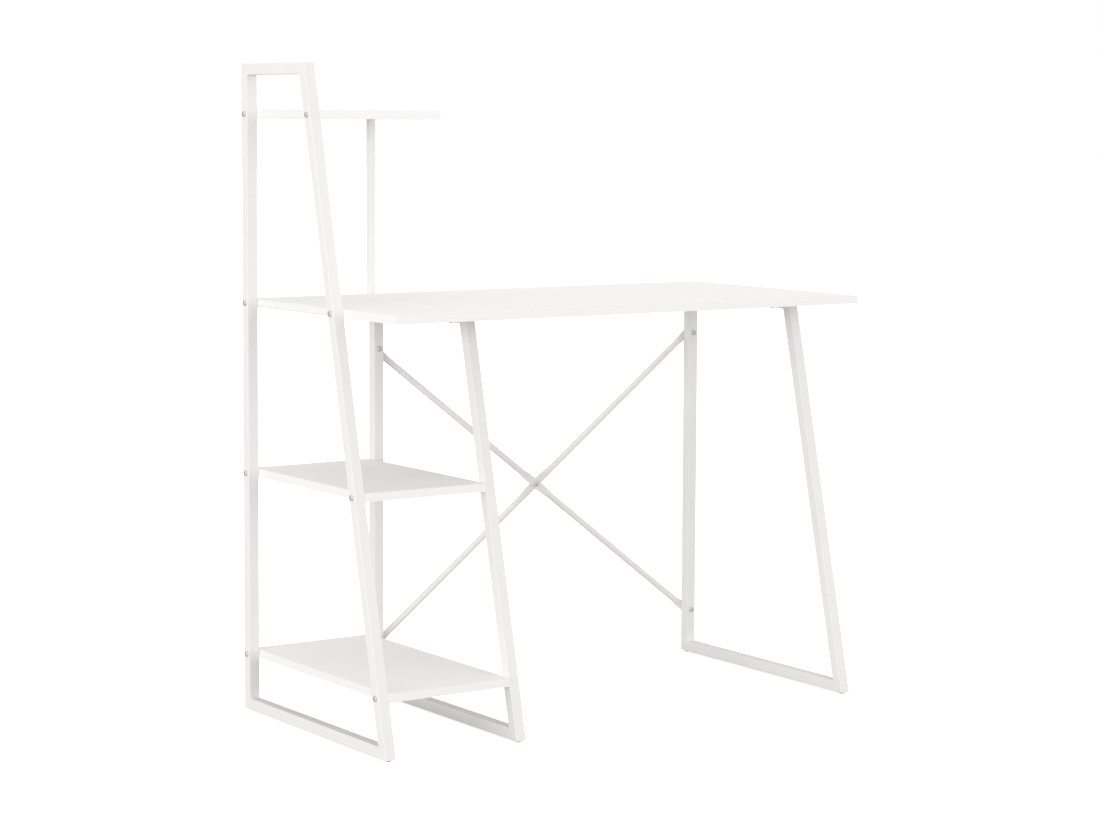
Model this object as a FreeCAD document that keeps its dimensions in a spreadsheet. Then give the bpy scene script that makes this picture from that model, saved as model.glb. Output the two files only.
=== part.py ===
"""Ladder desk: three leaning tube frames, a desktop, three shelves, a riser post and a cross brace.

X runs along the desk from the tall frame, Y runs to the back and Z up. The origin is on the floor,
under the middle of the desk. Lengths are millimetres.
"""
import FreeCAD, Part
import math
import os
import Sketcher

SIZES = (
    ("overall_length", 1020.0, "outer face of the tall frame to the right end of the desktop"),
    ("overall_depth", 500.0, "rear faces of the posts to the toes of the legs and the desktop's front"),
    ("overall_height", 1170.0, "floor to the top of the tall frame"),
    ("leg_top_depth", 227.0, "depth of the tall frame over its top rail"),
    ("tube_width", 20.0, "square tube of the frames"),
    ("tube_wall", 1.2, "wall of the frame tubes"),
    ("tube_rounding", 1.0, "outer corner radius of the frame tubes"),
    ("board_thickness", 15.0, "desktop and shelves"),
    ("band_thickness", 1.0, "edge band of the boards"),
    ("desktop_height", 750.0, "floor to the desktop's top face"),
    ("top_shelf_drop", 82.0, "top of the tall frame down to the top shelf's top face"),
    ("middle_shelf_height", 442.0, "floor to the middle shelf's top face"),
    ("bottom_shelf_height", 111.0, "floor to the bottom shelf's top face"),
    ("shelf_width", 243.0, "clear width between the tall and the middle frame"),
    ("right_overhang", 6.0, "desktop past the right frame"),
    ("riser_width", 12.0, "square tube of the riser post"),
    ("riser_wall", 1.0, "wall of the riser post"),
    ("riser_rounding", 0.8, "outer corner radius of the riser post"),
    ("riser_setback", 12.0, "rear edge of the boards to the rear face of the riser"),
    ("plug_length", 14.0, "threaded plug in each end of the riser"),
    ("brace_diameter", 12.0, "round tube of the cross brace"),
    ("brace_wall", 1.0, "wall of the brace tube"),
    ("brace_flat", 3.0, "thickness of the brace where it is pressed flat"),
    ("brace_flat_width", 16.0, "width of the brace where it is pressed flat"),
    ("brace_lug_length", 14.0, "flat end of a brace, from its bolt"),
    ("brace_crossing_length", 20.0, "flat of a brace at the crossing, from its bolt"),
    ("brace_taper", 22.0, "length over which the brace goes from flat to round"),
    ("brace_upper_drop", 87.0, "underside of the desktop down to the upper brace bolts"),
    ("brace_lower_height", 87.0, "floor to the lower brace bolts"),
    ("bolt_diameter", 6.0, "shank of the frame and brace bolts"),
    ("bolt_head_width", 10.5, "head of the bolts"),
    ("bolt_head_height", 3.3, "head of the bolts"),
    ("bolt_head_rim", 1.1, "straight rim of the bolt heads, under the dome"),
    ("bolt_head_top", 7.2, "flat top of the bolt heads"),
    ("socket_width", 4.0, "hexagon socket in the bolt heads, across its flats"),
    ("socket_depth", 2.0, "depth of that socket"),
    ("bolt_reach", 12.5, "bolt inside a board"),
    ("bolt_end", 1.5, "bolt past its nut"),
    ("nut_width", 10.0, "nuts, across their flats"),
    ("nut_thickness", 5.0, "nuts"),
    ("insert_width", 8.8, "threaded insert in a board's end"),
    ("insert_length", 14.0, "threaded insert behind its flange"),
    ("insert_flange", 11.4, "flange of the insert, as thick as the edge band"),
    ("screw_diameter", 4.2, "screws from the top rails into the desktop"),
    ("screw_head_width", 9.0, "heads of the desktop and riser screws"),
    ("screw_head_height", 2.5, "heads of the desktop and riser screws"),
    ("screw_reach", 11.0, "desktop screw inside the desktop"),
    ("screw_inset", 60.0, "desktop screws from the ends of their rail"),
    ("riser_screw_diameter", 5.0, "screws into the riser's plugs"),
    ("riser_screw_reach", 10.0, "riser screw inside its plug"),
    ("glide_height", 3.0, "glide under a floor rail"),
    ("glide_width", 11.0, "glide at the rail"),
    ("glide_foot_width", 7.0, "flat of a glide on the floor"),
    ("glide_stem_width", 5.0, "stem of a glide inside the rail"),
    ("glide_stem_length", 8.0, "stem of a glide from the rail's underside"),
    ("clearance", 0.3, "between a shank, stem or insert and its hole, all round"),
)

SHEET = "Sizes"
START_INDEX = 1
END_INDEX = 2
CENTRE_INDEX = 3
ORIGIN_INDEX = -1
HEX_SIDES = 6
TUBE_CORNERS = 4

# A cut centred on its sketch goes clear through when it is this many times the distance that it has to reach.
THROUGH = 3

doc = FreeCAD.newDocument("ladder_desk")


class Dim:
    """A length that holds its number and the expression that binds it to the sheet."""

    def __init__(self, text, value):
        self.text = text
        self.value = value

    def joined(self, sign, other, value):
        return Dim(f"({self.text} {sign} {other.text})", value)

    def __add__(self, other):
        other = as_dim(other)
        return self.joined("+", other, self.value + other.value)

    def __sub__(self, other):
        other = as_dim(other)
        return self.joined("-", other, self.value - other.value)

    def __mul__(self, other):
        other = as_dim(other)
        return self.joined("*", other, self.value * other.value)

    def __truediv__(self, other):
        other = as_dim(other)
        return self.joined("/", other, self.value / other.value)

    def __neg__(self):
        return ZERO - self


def as_dim(number):
    return number if isinstance(number, Dim) else Dim(str(number), float(number))


def root(dim):
    return Dim(f"sqrt({dim.text})", math.sqrt(dim.value))


def slope_angle(rise, run):
    return Dim(f"atan({rise.text} / {run.text})", math.degrees(math.atan2(rise.value, run.value)))


ZERO = as_dim(0)


def write_sheet():
    """Fills the sheet of driving dimensions and returns each of them by name."""
    sheet = doc.addObject("Spreadsheet::Sheet", SHEET)
    for row, (name, value, meaning) in enumerate(SIZES, start=1):
        sheet.set(f"A{row}", meaning)
        sheet.set(f"B{row}", str(value))
        sheet.setAlias(f"B{row}", name)
    doc.recompute()
    return {name: Dim(f"{SHEET}.{name}", value) for name, value, meaning in SIZES}


size = write_sheet()
tube = size["tube_width"]
wall = size["tube_wall"]
depth = size["overall_depth"]
board = size["board_thickness"]
band = size["band_thickness"]
flat = size["brace_flat"]
glide = size["glide_height"]
gap = size["clearance"]

# The legs lean back by the same slope on all frames, so that their faces line up from the side.
lean = (depth - size["leg_top_depth"]) / (size["overall_height"] - glide)
slant = root(lean * lean + 1)
leg_width = tube * slant

# Places along the desk, from the outer face of the tall frame.
tall_middle = tube / 2
middle_middle = tube + size["shelf_width"] + tube / 2
right_middle = size["overall_length"] - size["right_overhang"] - tube / 2

# The brace lies on the rear faces of the posts, and its two flats meet at their crossing on its axis.
brace_axis = depth + flat / 2
crossing_front, crossing_rear = brace_axis - flat, brace_axis + flat

# The bolt heads on the tall frame and the crossing bolt behind the brace are the outermost points.
rear_reach = crossing_rear + size["nut_thickness"] + size["bolt_end"] - depth
left_x = (size["bolt_head_height"] - size["overall_length"]) / 2
front_y = -(depth + rear_reach) / 2

desktop_underside = size["desktop_height"] - board
bolt_hole = size["bolt_diameter"] + gap * 2


def leg_front(height):
    """Distance of a leg's front face behind the front of the desk."""
    return lean * (height - glide)


def leg_middle(height):
    return leg_front(height) + leg_width / 2


def between(start, end, share):
    return tuple(a + (b - a) * share for a, b in zip(start, end))


def place(item, x, y, z, rotation=FreeCAD.Rotation()):
    """Puts an item at a bound place, measured from the tall frame's outer face and the front."""
    spot = (left_x + x, front_y + y, as_dim(z))
    item.Placement = FreeCAD.Placement(FreeCAD.Vector(*(length.value for length in spot)), rotation)
    for axis, length in zip("xyz", spot):
        item.setExpression(f"Placement.Base.{axis}", length.text)


def new_body(label):
    body = doc.addObject("PartDesign::Body", label)
    body.Label = label
    return body


def origin_feature(body, role):
    return next(item for item in body.Origin.OriginFeatures if item.Role == role)


def new_sketch(body, plane, offset=ZERO):
    sketch = body.newObject("Sketcher::SketchObject", f"{body.Label}_sketch")
    sketch.AttachmentSupport = [(origin_feature(body, plane), "")]
    sketch.MapMode = "FlatFace"
    sketch.AttachmentOffset = FreeCAD.Placement(FreeCAD.Vector(0, 0, offset.value), FreeCAD.Rotation())
    sketch.setExpression("AttachmentOffset.Base.z", offset.text)
    return sketch


def bind(sketch, kind, length, *points):
    """Adds a dimension to a sketch and ties it to the sheet."""
    index = sketch.addConstraint(Sketcher.Constraint(kind, *points, length.value))
    sketch.setExpression(f"Constraints[{index}]", length.text)


def pin(sketch, geometry, point, across, up):
    bind(sketch, "DistanceX", across, ORIGIN_INDEX, START_INDEX, geometry, point)
    bind(sketch, "DistanceY", up, ORIGIN_INDEX, START_INDEX, geometry, point)


def draw_polygon(sketch, corners):
    """Draws a closed polygon through corners given as (across, up)."""
    corners = [(as_dim(across), as_dim(up)) for across, up in corners]
    points = [FreeCAD.Vector(across.value, up.value, 0) for across, up in corners]
    first = len(sketch.Geometry)
    for start, end in zip(points, points[1:] + points[:1]):
        sketch.addGeometry(Part.LineSegment(start, end))
    for number, (across, up) in enumerate(corners):
        line, following = first + number, first + (number + 1) % len(corners)
        pin(sketch, line, START_INDEX, across, up)
        sketch.addConstraint(Sketcher.Constraint("Coincident", line, END_INDEX, following, START_INDEX))


def draw_rectangle(sketch, left, bottom, right, top):
    draw_polygon(sketch, ((left, bottom), (right, bottom), (right, top), (left, top)))


def draw_hexagon(sketch, across_flats):
    corner = across_flats / math.sqrt(3)
    turns = [math.tau * number / HEX_SIDES for number in range(HEX_SIDES)]
    draw_polygon(sketch, [(corner * math.cos(turn), corner * math.sin(turn)) for turn in turns])


def draw_circle(sketch, across, up, diameter):
    across, up = as_dim(across), as_dim(up)
    middle = FreeCAD.Vector(across.value, up.value, 0)
    circle = sketch.addGeometry(Part.Circle(middle, FreeCAD.Vector(0, 0, 1), diameter.value / 2))
    pin(sketch, circle, CENTRE_INDEX, across, up)
    bind(sketch, "Diameter", diameter, circle)


def extrude(body, kind, sketch, length, symmetric=False, reverse=False):
    """Pads a sketch or cuts it as a pocket; a pocket must take something away."""
    doc.recompute()
    before = body.Shape.Volume if kind == "Pocket" else 0.0
    feature = body.newObject(f"PartDesign::{kind}", f"{body.Label}_{kind.lower()}")
    feature.Profile = sketch
    feature.Type = "Length"
    feature.SideType = "Symmetric" if symmetric else "One side"
    feature.Reversed = reverse
    feature.Length = length.value
    feature.setExpression("Length", length.text)
    doc.recompute()
    if kind == "Pocket" and not body.Shape.Volume < before:
        raise ValueError(f"{feature.Label} cuts nothing")
    return feature


def revolve(body, kind, sketch, axis):
    """Turns a profile round one of the body's axes, as a solid or as a groove inside it."""
    feature = body.newObject(f"PartDesign::{kind}", f"{body.Label}_{kind.lower()}")
    feature.Profile = sketch
    feature.ReferenceAxis = (origin_feature(body, axis), [""])
    feature.Angle = 360
    doc.recompute()
    return feature


def turned_body(label, profile):
    """A turned piece: a profile of (radius, height) corners round the vertical axis."""
    body = new_body(label)
    sketch = new_sketch(body, "XZ_Plane")
    draw_polygon(sketch, profile)
    revolve(body, "Revolution", sketch, "Z_Axis")
    return body


def group(label, master, spots):
    """Copies of one fastener as separate solids; each spot is a place and a rotation."""
    links = []
    for number, (x, y, z, rotation) in enumerate(spots, start=1):
        link = doc.addObject("App::Link", f"{label}_{number}")
        link.LinkedObject = master
        place(link, x, y, z, rotation)
        links.append(link)
    compound = doc.addObject("Part::Compound", label)
    compound.Label = label
    compound.Links = links
    return compound


UPWARD = FreeCAD.Rotation()
DOWNWARD = FreeCAD.Rotation(FreeCAD.Vector(1, 0, 0), 180)
RIGHTWARD = FreeCAD.Rotation(FreeCAD.Vector(0, 1, 0), 90)
LEFTWARD = FreeCAD.Rotation(FreeCAD.Vector(0, 1, 0), -90)
REARWARD = FreeCAD.Rotation(FreeCAD.Vector(1, 0, 0), -90)


# Frames

def round_corners(body, pad, radius):
    """Rounds the long corners of a solid square bar, before it is made hollow."""
    edges = sorted(enumerate(pad.Shape.Edges, start=1), key=lambda numbered: numbered[1].Length)
    fillet = body.newObject("PartDesign::Fillet", f"{body.Label}_fillet")
    fillet.Base = (pad, [f"Edge{number}" for number, edge in edges[-TUBE_CORNERS:]])
    fillet.Radius = radius.value
    fillet.setExpression("Radius", radius.text)


def frame_tube(label, x, outer, inner, side_holes=(), rear_holes=(), upright_holes=(), wall_holes=()):
    """One tube of a frame, mitred at both ends.

    The side view runs from the two outer corners to the two inner ones. Side holes go through both
    walls along the desk, rear holes from front to back, upright holes from top to bottom, and wall
    holes through the lower wall only.
    """
    body = new_body(label)
    sketch = new_sketch(body, "YZ_Plane")
    draw_polygon(sketch, (outer[0], outer[1], inner[1], inner[0]))
    pad = extrude(body, "Pad", sketch, tube, symmetric=True)
    round_corners(body, pad, size["tube_rounding"])

    near, far = wall / tube, ZERO + 1 - wall / tube
    bore = [between(outer[0], inner[0], near), between(outer[1], inner[1], near),
            between(outer[1], inner[1], far), between(outer[0], inner[0], far)]
    sketch = new_sketch(body, "YZ_Plane")
    draw_polygon(sketch, bore)
    extrude(body, "Pocket", sketch, tube - wall * 2, symmetric=True)

    lower_wall = (glide + wall * 2) * 2
    cuts = (("YZ_Plane", side_holes, tube * THROUGH),
            ("XZ_Plane", rear_holes, depth * THROUGH),
            ("XY_Plane", upright_holes, size["overall_height"] * THROUGH),
            ("XY_Plane", wall_holes, lower_wall))
    for plane, holes, length in cuts:
        if holes:
            sketch = new_sketch(body, plane)
            for across, up, diameter in holes:
                draw_circle(sketch, across, up, diameter)
            extrude(body, "Pocket", sketch, length, symmetric=True)
    place(body, x, ZERO, ZERO)
    return body


def frame(name, x, height, shelf_bolts, brace_bolts=(), desktop_screws=()):
    """A closed welded frame: rear post, leaning front leg, top rail and floor rail."""
    toe, heel = (ZERO, glide), (depth, glide)
    brow, crown = (leg_front(height), height), (depth, height)
    toe_in = (leg_front(glide + tube) + leg_width, glide + tube)
    brow_in = (leg_front(height - tube) + leg_width, height - tube)
    crown_in, heel_in = (depth - tube, height - tube), (depth - tube, glide + tube)

    post_holes = [(depth - tube / 2, bolt_height, bolt_hole) for bolt_height in shelf_bolts]
    leg_holes = [(leg_middle(bolt_height), bolt_height, bolt_hole) for bolt_height in shelf_bolts]
    brace_holes = [(ZERO, bolt_height, bolt_hole) for bolt_height in brace_bolts]
    screw_holes = [(ZERO, spot, size["screw_diameter"] + gap * 2) for spot in desktop_screws]
    glide_holes = [(ZERO, spot, size["glide_stem_width"] + gap * 2) for spot in glide_spots]
    return [
        frame_tube(f"{name}_rear_post", x, (crown, heel), (crown_in, heel_in),
                   side_holes=post_holes, rear_holes=brace_holes),
        frame_tube(f"{name}_front_leg", x, (toe, brow), (toe_in, brow_in), side_holes=leg_holes),
        frame_tube(f"{name}_top_rail", x, (brow, crown), (brow_in, crown_in), upright_holes=screw_holes),
        frame_tube(f"{name}_floor_rail", x, (heel, toe), (heel_in, toe_in), wall_holes=glide_holes),
    ]


# Boards

def board_front(height):
    """A shelf's front edge is flush with the legs at its underside."""
    return leg_front(height - board)


def board_core(label, x, front, height, length, left_bolts, right_bolts=()):
    """A board inside its edge bands, with the bores for its inserts; bolts are distances from the front."""
    body = new_body(label)
    run = depth - front
    sketch = new_sketch(body, "XY_Plane")
    draw_rectangle(sketch, band, band, length - band, run - band)
    extrude(body, "Pad", sketch, board)
    bore_depth = band + size["insert_length"] + gap
    for offset, bolts, inward in ((ZERO, left_bolts, True), (length, right_bolts, False)):
        if bolts:
            sketch = new_sketch(body, "YZ_Plane", offset)
            for spot in bolts:
                draw_circle(sketch, spot - front, board / 2, size["insert_width"] + gap * 2)
            extrude(body, "Pocket", sketch, bore_depth, reverse=inward)
    place(body, x, front, height - board)
    return body


def drill_board(body, spots, diameter, length, from_top=False):
    """Drills round holes into a board from its underside or its top face."""
    sketch = new_sketch(body, "XY_Plane", board if from_top else ZERO)
    for across, along in spots:
        draw_circle(sketch, across, along, diameter)
    extrude(body, "Pocket", sketch, length, reverse=not from_top)


def band_strip(label, left, near, length, run):
    strip = doc.addObject("Part::Box", label)
    for name, value in (("Length", length), ("Width", run), ("Height", board)):
        setattr(strip, name, value.value)
        strip.setExpression(name, value.text)
    for axis, value in (("x", left), ("y", near)):
        strip.setExpression(f"Placement.Base.{axis}", value.text)
    return strip


def pierce(strip, left, spots):
    """Cuts the flange holes of the inserts through an end strip."""
    holes = []
    for number, spot in enumerate(spots, start=1):
        hole = doc.addObject("Part::Cylinder", f"{strip.Label}_hole_{number}")
        hole.Placement = FreeCAD.Placement(FreeCAD.Vector(), RIGHTWARD)
        hole.setExpression("Radius", (size["insert_flange"] / 2 + gap).text)
        hole.setExpression("Height", band.text)
        for axis, value in (("x", left), ("y", spot), ("z", board / 2)):
            hole.setExpression(f"Placement.Base.{axis}", value.text)
        holes.append(hole)
    tools = doc.addObject("Part::Compound", f"{strip.Label}_holes")
    tools.Links = holes
    cut = doc.addObject("Part::Cut", f"{strip.Label}_pierced")
    cut.Base = strip
    cut.Tool = tools
    return cut


def edge_bands(label, x, front, height, length, left_bolts, right_bolts=()):
    """The four strips round a board: front and rear run through, the end strips butt against them."""
    run = depth - front
    end_run = run - band * 2
    strips = [band_strip(f"{label}_front", ZERO, ZERO, length, band),
              band_strip(f"{label}_rear", ZERO, run - band, length, band)]
    for side, left, bolts in (("left", ZERO, left_bolts), ("right", length - band, right_bolts)):
        strip = band_strip(f"{label}_{side}", left, band, band, end_run)
        strips.append(pierce(strip, left, [spot - front for spot in bolts]) if bolts else strip)
    compound = doc.addObject("Part::Compound", label)
    compound.Label = label
    compound.Links = strips
    place(compound, x, front, height - board)
    return compound


# Cross brace

def flatten(body, half_length, low, high, centre, radius):
    """Presses the blank flat round one bolt, between two depths, with a taper on each side."""
    reach = half_length + size["brace_taper"]
    beyond = size["brace_flat_width"]
    for level, outside, limit in ((low, -radius, -beyond), (high, radius, beyond)):
        sketch = new_sketch(body, "XY_Plane")
        draw_polygon(sketch, ((centre - reach, outside), (centre - half_length, level),
                              (centre + half_length, level), (centre + reach, outside),
                              (centre + reach, limit), (centre - reach, limit)))
        extrude(body, "Pocket", sketch, beyond * THROUGH, symmetric=True)


def brace_rod(label, start_height, end_height, crossing_low, crossing_high):
    """A round tube from post to post, pressed flat at its two bolts and where it crosses the other."""
    run = right_middle - middle_middle
    rise = end_height - start_height
    length = root(run * run + rise * rise)
    radius, wide = size["brace_diameter"] / 2, size["brace_flat_width"] / 2
    lug, crossing = size["brace_lug_length"], size["brace_crossing_length"]
    taper, middle = size["brace_taper"], length / 2

    body = new_body(label)
    sketch = new_sketch(body, "XZ_Plane")
    corners = [(ZERO, wide), (lug, wide), (lug + taper, radius),
               (middle - crossing - taper, radius), (middle - crossing, wide),
               (middle + crossing, wide), (middle + crossing + taper, radius),
               (length - lug - taper, radius), (length - lug, wide), (length, wide)]
    draw_rounded_blank(sketch, corners, length, wide)
    revolve(body, "Revolution", sketch, "X_Axis")

    flatten(body, lug, -flat / 2, flat / 2, ZERO, radius)
    flatten(body, lug, -flat / 2, flat / 2, length, radius)
    flatten(body, crossing, crossing_low, crossing_high, middle, radius)

    sketch = new_sketch(body, "XZ_Plane")
    for spot in (ZERO, middle, length):
        draw_circle(sketch, spot, ZERO, bolt_hole)
    extrude(body, "Pocket", sketch, size["brace_flat_width"] * THROUGH, symmetric=True)

    bore = radius - size["brace_wall"]
    sketch = new_sketch(body, "XZ_Plane")
    round_runs = ((lug + taper, middle - crossing - taper), (middle + crossing + taper, length - lug - taper))
    for left, right in round_runs:
        draw_rectangle(sketch, left, ZERO, right, bore)
    revolve(body, "Groove", sketch, "X_Axis")

    angle = slope_angle(-rise, run)
    tilt = FreeCAD.Rotation(FreeCAD.Vector(0, 1, 0), angle.value)
    place(body, middle_middle, brace_axis, start_height, tilt)
    body.setExpression("Placement.Rotation.Angle", angle.text)
    return body


def draw_rounded_blank(sketch, corners, length, wide):
    """Half of the blank's outline: round tips about the end bolts, and straight runs between them."""
    points = [FreeCAD.Vector(across.value, up.value, 0) for across, up in corners]
    for start, end in zip(points, points[1:]):
        sketch.addGeometry(Part.LineSegment(start, end))
    last = len(points) - 2
    tips = ((FreeCAD.Vector(), 90, 180, ZERO), (FreeCAD.Vector(length.value, 0, 0), 0, 90, length))
    arcs = []
    for middle, first_angle, last_angle, across in tips:
        circle = Part.Circle(middle, FreeCAD.Vector(0, 0, 1), wide.value)
        arc = Part.ArcOfCircle(circle, math.radians(first_angle), math.radians(last_angle))
        arcs.append(sketch.addGeometry(arc))
        pin(sketch, arcs[-1], CENTRE_INDEX, across, ZERO)
    axis = sketch.addGeometry(Part.LineSegment(FreeCAD.Vector(length.value + wide.value, 0, 0),
                                               FreeCAD.Vector(-wide.value, 0, 0)))
    left, right = arcs
    meetings = [(number, END_INDEX, number + 1, START_INDEX) for number in range(last)]
    meetings += [(left, START_INDEX, 0, START_INDEX), (last, END_INDEX, right, END_INDEX)]
    meetings += [(right, START_INDEX, axis, START_INDEX), (axis, END_INDEX, left, END_INDEX)]
    for meeting in meetings:
        sketch.addConstraint(Sketcher.Constraint("Coincident", *meeting))
    for number, (across, up) in enumerate(corners[:-1]):
        pin(sketch, number, START_INDEX, across, up)
    pin(sketch, last, END_INDEX, *corners[-1])
    for point in (START_INDEX, END_INDEX):
        bind(sketch, "DistanceY", ZERO, ORIGIN_INDEX, START_INDEX, axis, point)


# Riser post

def riser_post():
    """The thin square tube that stands on the desktop under the free end of the top shelf."""
    outer, inner = size["riser_width"], size["riser_width"] - size["riser_wall"] * 2
    body = new_body("riser_post")
    sketch = new_sketch(body, "XY_Plane")
    draw_rectangle(sketch, -outer / 2, -outer / 2, outer / 2, outer / 2)
    pad = extrude(body, "Pad", sketch, riser_length)
    round_corners(body, pad, size["riser_rounding"])
    sketch = new_sketch(body, "XY_Plane")
    draw_rectangle(sketch, -inner / 2, -inner / 2, inner / 2, inner / 2)
    extrude(body, "Pocket", sketch, riser_length, reverse=True)
    place(body, riser_x, riser_y, size["desktop_height"])
    return body


def riser_plug():
    side = size["riser_width"] - size["riser_wall"] * 2
    body = new_body("riser_plug_master")
    sketch = new_sketch(body, "XY_Plane")
    draw_rectangle(sketch, -side / 2, -side / 2, side / 2, side / 2)
    draw_circle(sketch, ZERO, ZERO, size["riser_screw_diameter"] + gap * 2)
    extrude(body, "Pad", sketch, size["plug_length"])
    return body


# Fasteners and glides, each standing on the seat under its head, shank upward

def bolt(label, grip):
    """A button-head bolt with a hexagon socket."""
    shank, head = size["bolt_diameter"] / 2, size["bolt_head_width"] / 2
    tall, rim, top = size["bolt_head_height"], size["bolt_head_rim"], size["bolt_head_top"] / 2
    tip = size["bolt_end"] / 2
    body = turned_body(label, ((ZERO, -tall), (top, -tall), (head, -rim), (head, ZERO),
                               (shank, ZERO), (shank, grip - tip), (shank - tip, grip), (ZERO, grip)))
    sketch = new_sketch(body, "XY_Plane", -tall)
    draw_hexagon(sketch, size["socket_width"])
    extrude(body, "Pocket", sketch, size["socket_depth"], reverse=True)
    return body


def nut():
    body = new_body("nut_master")
    sketch = new_sketch(body, "XY_Plane")
    draw_hexagon(sketch, size["nut_width"])
    draw_circle(sketch, ZERO, ZERO, bolt_hole)
    extrude(body, "Pad", sketch, size["nut_thickness"])
    return body


def board_insert():
    """A threaded insert whose flange is sunk in the edge band and seated on the board's core."""
    inside, outside = bolt_hole / 2, size["insert_width"] / 2
    flange, end = size["insert_flange"] / 2, band + size["insert_length"]
    return turned_body("insert_master", ((inside, ZERO), (flange, ZERO), (flange, band), (outside, band),
                                         (outside, end), (inside, end)))


def screw(label, diameter, reach):
    """A low-head screw with a conical tip."""
    shank, head, tall = diameter / 2, size["screw_head_width"] / 2, size["screw_head_height"]
    return turned_body(label, ((ZERO, -tall), (head - tall / 2, -tall), (head, -tall / 2), (head, ZERO),
                               (shank, ZERO), (shank, reach - diameter), (ZERO, reach)))


def floor_glide():
    """A push-in glide: a tapered foot under the rail and a stem in the rail's lower wall."""
    foot, wide, stem = size["glide_foot_width"] / 2, size["glide_width"] / 2, size["glide_stem_width"] / 2
    top = size["glide_stem_length"]
    return turned_body("glide_master", ((ZERO, -glide), (foot, -glide), (wide, -glide / 2), (wide, ZERO),
                                        (stem, ZERO), (stem, top - stem / 2), (stem / 2, top), (ZERO, top)))


# Shared places: distances along the desk, from the front, and heights

LOWER_SHELVES = ("middle_shelf", "bottom_shelf")
post_bolt = depth - tube / 2
glide_spots = (tube / 2, post_bolt)
board_top = {"desktop": size["desktop_height"], "top_shelf": size["overall_height"] - size["top_shelf_drop"]}
for name in LOWER_SHELVES:
    board_top[name] = size[f"{name}_height"]
board_middle = {name: height - board / 2 for name, height in board_top.items()}
brace_heights = (desktop_underside - size["brace_upper_drop"], size["brace_lower_height"])
rail_front = leg_front(desktop_underside)
desktop_screw_spots = (rail_front + size["screw_inset"], depth - size["screw_inset"])
riser_x = tube + size["shelf_width"] - size["riser_width"] / 2
riser_y = depth - size["riser_setback"] - size["riser_width"] / 2
top_shelf_underside = board_top["top_shelf"] - board
riser_length = top_shelf_underside - size["desktop_height"]

# Assembly: frames

shelf_bolts = [board_middle[name] for name in LOWER_SHELVES]
parts = []
parts += frame("tall_frame", tall_middle, size["overall_height"], board_middle.values())
parts += frame("middle_frame", middle_middle, desktop_underside, shelf_bolts,
               brace_heights, desktop_screw_spots)
parts += frame("right_frame", right_middle, desktop_underside, (), brace_heights, desktop_screw_spots)

# Assembly: boards

desktop_length = size["overall_length"] - tube
front_edge = {name: board_front(height) for name, height in board_top.items()}
front_edge["desktop"] = ZERO
cores = {}
for name, front in front_edge.items():
    height = board_top[name]
    length = desktop_length if name == "desktop" else size["shelf_width"]
    left_bolts = (leg_middle(board_middle[name]), post_bolt)
    right_bolts = left_bolts if name in LOWER_SHELVES else ()
    cores[name] = board_core(f"{name}_board", tube, front, height, length, left_bolts, right_bolts)
    parts.append(cores[name])
    parts.append(edge_bands(f"{name}_edge_bands", tube, front, height, length, left_bolts, right_bolts))

rail_screws = [(middle, spot) for middle in (middle_middle, right_middle) for spot in desktop_screw_spots]
screw_bores = [(middle - tube, spot) for middle, spot in rail_screws]
drill_board(cores["desktop"], screw_bores, size["screw_diameter"] + gap * 2, size["screw_reach"] + gap)
sunk_head = size["screw_head_height"] + gap
riser_screw_length = board - sunk_head + size["riser_screw_reach"]
for name, from_top in (("desktop", False), ("top_shelf", True)):
    spot = [(riser_x - tube, riser_y - front_edge[name])]
    drill_board(cores[name], spot, size["riser_screw_diameter"] + gap * 2, board, from_top)
    drill_board(cores[name], spot, size["screw_head_width"] + gap * 2, sunk_head, from_top)

# Assembly: riser

riser_screw = screw("riser_screw_master", size["riser_screw_diameter"], riser_screw_length)
parts.append(riser_post())
parts.append(group("riser_end_plugs", riser_plug(), [
    (riser_x, riser_y, size["desktop_height"], UPWARD),
    (riser_x, riser_y, top_shelf_underside, DOWNWARD)]))
parts.append(group("riser_screws", riser_screw, [
    (riser_x, riser_y, desktop_underside + sunk_head, UPWARD),
    (riser_x, riser_y, board_top["top_shelf"] - sunk_head, DOWNWARD)]))

# Assembly: cross brace

upper, lower = brace_heights
parts.append(brace_rod("brace_rod_falling", upper, lower, -flat, ZERO))
parts.append(brace_rod("brace_rod_rising", lower, upper, ZERO, flat))

brace_ends = [(middle, height) for middle in (middle_middle, right_middle) for height in brace_heights]
crossing_x, crossing_height = (middle_middle + right_middle) / 2, (upper + lower) / 2
past_flat = size["nut_thickness"] + size["bolt_end"]
through_post = tube + flat + past_flat
through_crossing = crossing_rear - crossing_front + past_flat
parts.append(group("brace_end_bolts", bolt("brace_bolt_master", through_post),
                   [(x, depth - tube, height, REARWARD) for x, height in brace_ends]))
parts.append(group("brace_crossing_bolt", bolt("crossing_bolt_master", through_crossing),
                   [(crossing_x, crossing_front, crossing_height, REARWARD)]))
parts.append(group("brace_nuts", nut(), [(x, depth + flat, height, REARWARD) for x, height in brace_ends]
                   + [(crossing_x, crossing_rear, crossing_height, REARWARD)]))

# Assembly: frame bolts and inserts

def bolt_pair(height):
    """The two bolts that hold one end of a board to a frame, in the leg and in the post."""
    return (leg_middle(height), height), (post_bolt, height)


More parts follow.
